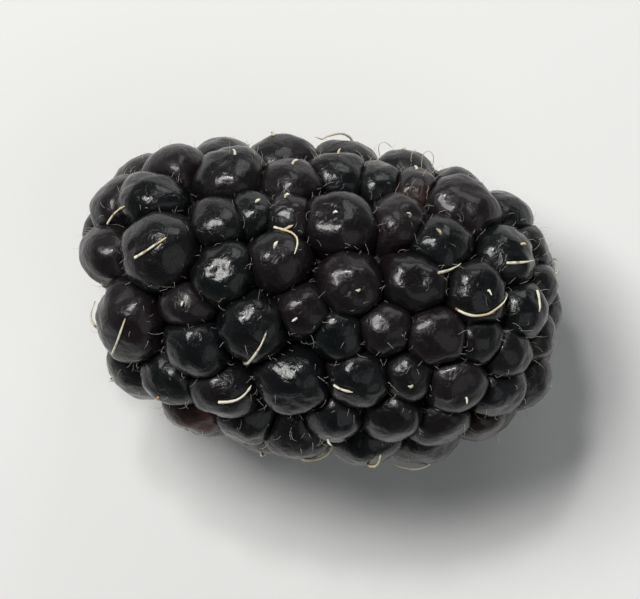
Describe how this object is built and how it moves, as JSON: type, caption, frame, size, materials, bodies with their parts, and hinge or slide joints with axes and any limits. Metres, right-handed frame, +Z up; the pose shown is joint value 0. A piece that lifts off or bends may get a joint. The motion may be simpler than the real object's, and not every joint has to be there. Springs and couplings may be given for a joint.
{
  "type": "bramble berry",
  "caption": "Ripe near-black bramble berry lying on its side: plump drupelets grown together on a blunt oval core, with a pale torn receptacle at the stem end.",
  "frame": {"origin": "on the resting surface, under the middle of the berry's bounding box", "axes": "+X along the berry from the stem end to the tip, +Y across it, +Z up from the surface that it lies on"},
  "size_m": [0.0276, 0.0184, 0.0172],
  "materials": {
    "berry_skin": "thin, taut, glossy fruit skin, from blue-black to purple-black, with a few wine-red drupelets",
    "receptacle_flesh": "pale, fibrous, dull flesh where the berry was pulled from its stalk",
    "dried_style": "thin, dry, straw-coloured threads with a faint sheen"
  },
  "bodies": {
    "root": {"berry": "berry_skin"}
  },
  "joints": []
}
